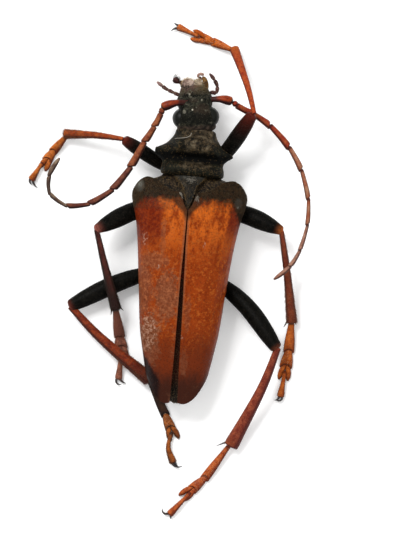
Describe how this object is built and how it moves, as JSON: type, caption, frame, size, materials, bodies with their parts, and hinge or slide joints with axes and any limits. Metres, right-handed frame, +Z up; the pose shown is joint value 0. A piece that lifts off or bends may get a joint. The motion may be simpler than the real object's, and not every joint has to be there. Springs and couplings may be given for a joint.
{
  "type": "longhorn beetle specimen, mastododera nodicollis",
  "caption": "Life-size still model of a longhorn beetle with a knobbed black thorax, orange wing cases, long curved antennae and spread legs.",
  "frame": {"origin": "on the floor under the middle of the hind breast, where the belly rests", "axes": "+Y runs along the body towards the head, +X is the beetle's right, +Z is up"},
  "size_m": [0.0296, 0.0519, 0.0073],
  "materials": {
    "black_cuticle": "black-brown cuticle with a thin coat of golden-brown hair",
    "eye": "glossy black, finely faceted",
    "lip_hair": "pale cuticle under straw-coloured hair",
    "dark_red_cuticle": "dark red-brown satin cuticle",
    "wing_case": "orange to dark red leathery cuticle, black at the base",
    "rufous_cuticle": "red-brown satin cuticle with short hair",
    "orange_cuticle": "orange-brown satin cuticle with short hair"
  },
  "bodies": {
    "root": {"head": "black_cuticle", "prothorax": "black_cuticle", "pterothorax": "black_cuticle", "scutellum": "black_cuticle", "abdomen": "black_cuticle", "coxa_fore_left": "black_cuticle", "femur_fore_left": "black_cuticle", "coxa_fore_right": "black_cuticle", "femur_fore_right": "black_cuticle", "coxa_mid_left": "black_cuticle", "femur_mid_left": "black_cuticle", "coxa_mid_right": "black_cuticle", "femur_mid_right": "black_cuticle", "coxa_hind_left": "black_cuticle", "femur_hind_left": "black_cuticle", "coxa_hind_right": "black_cuticle", "femur_hind_right": "black_cuticle", "eye_left": "eye", "eye_right": "eye", "labrum": "lip_hair", "mandible_left": "dark_red_cuticle", "mandible_right": "dark_red_cuticle", "palp_maxillary_left": "dark_red_cuticle", "palp_maxillary_right": "dark_red_cuticle", "palp_labial_left": "dark_red_cuticle", "palp_labial_right": "dark_red_cuticle", "elytron_left": "wing_case", "elytron_right": "wing_case", "antenna_left_scape": "rufous_cuticle", "antenna_left_base": "rufous_cuticle", "antenna_left_middle": "rufous_cuticle", "antenna_left_tip": "rufous_cuticle", "antenna_right_scape": "rufous_cuticle", "antenna_right_base": "rufous_cuticle", "antenna_right_middle": "rufous_cuticle", "antenna_right_tip": "rufous_cuticle", "tibia_fore_left": "rufous_cuticle", "tibia_fore_right": "rufous_cuticle", "tibia_mid_left": "rufous_cuticle", "tibia_mid_right": "rufous_cuticle", "tibia_hind_left": "rufous_cuticle", "tibia_hind_right": "rufous_cuticle", "tarsus_fore_left": "orange_cuticle", "tarsus_fore_right": "orange_cuticle", "tarsus_mid_left": "orange_cuticle", "tarsus_mid_right": "orange_cuticle", "tarsus_hind_left": "orange_cuticle", "tarsus_hind_right": "orange_cuticle"}
  },
  "joints": []
}
